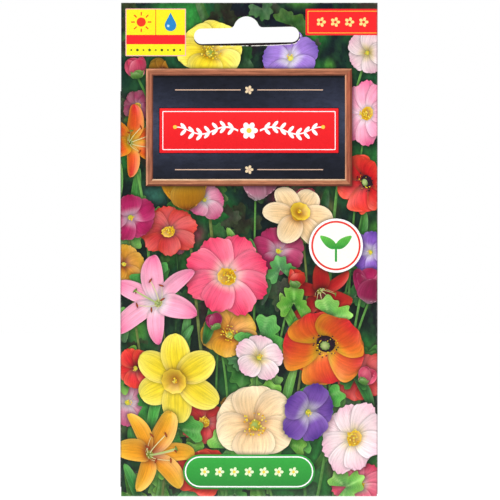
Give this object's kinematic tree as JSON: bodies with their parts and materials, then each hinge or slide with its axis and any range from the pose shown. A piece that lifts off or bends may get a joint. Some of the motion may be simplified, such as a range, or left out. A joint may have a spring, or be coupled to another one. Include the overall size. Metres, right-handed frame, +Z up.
{
  "type": "seed packet",
  "caption": "Slim paper seed packet, folded and glued flat, with a euro slot in its header to hang it on a peg.",
  "frame": {"origin": "top of the euro slot's arch, mid-way through the header, where a peg bears", "axes": "+Z up the packet, -Y out of its printed front, +X to the right seen from the front"},
  "size_m": [0.08, 0.003, 0.1535],
  "materials": {
    "printed_paper": "offset-printed paper under a glossy film, white core at the cut edges",
    "adhesive": "dried translucent dispersion glue",
    "seed_coat": "smooth glossy near-black seed coat"
  },
  "bodies": {
    "root": {"paper_packet": "printed_paper", "header_seal": "adhesive", "side_seam_glue": "adhesive", "bottom_flap_glue": "adhesive", "seed_01": "seed_coat", "seed_02": "seed_coat", "seed_03": "seed_coat", "seed_04": "seed_coat", "seed_05": "seed_coat", "seed_06": "seed_coat", "seed_07": "seed_coat", "seed_08": "seed_coat", "seed_09": "seed_coat", "seed_10": "seed_coat", "seed_11": "seed_coat", "seed_12": "seed_coat", "seed_13": "seed_coat", "seed_14": "seed_coat", "seed_15": "seed_coat", "seed_16": "seed_coat", "seed_17": "seed_coat", "seed_18": "seed_coat", "seed_19": "seed_coat", "seed_20": "seed_coat", "seed_21": "seed_coat", "seed_22": "seed_coat", "seed_23": "seed_coat", "seed_24": "seed_coat", "seed_25": "seed_coat", "seed_26": "seed_coat", "seed_27": "seed_coat", "seed_28": "seed_coat", "seed_29": "seed_coat", "seed_30": "seed_coat", "seed_31": "seed_coat", "seed_32": "seed_coat", "seed_33": "seed_coat", "seed_34": "seed_coat", "seed_35": "seed_coat", "seed_36": "seed_coat", "seed_37": "seed_coat", "seed_38": "seed_coat", "seed_39": "seed_coat", "seed_40": "seed_coat"}
  },
  "joints": []
}
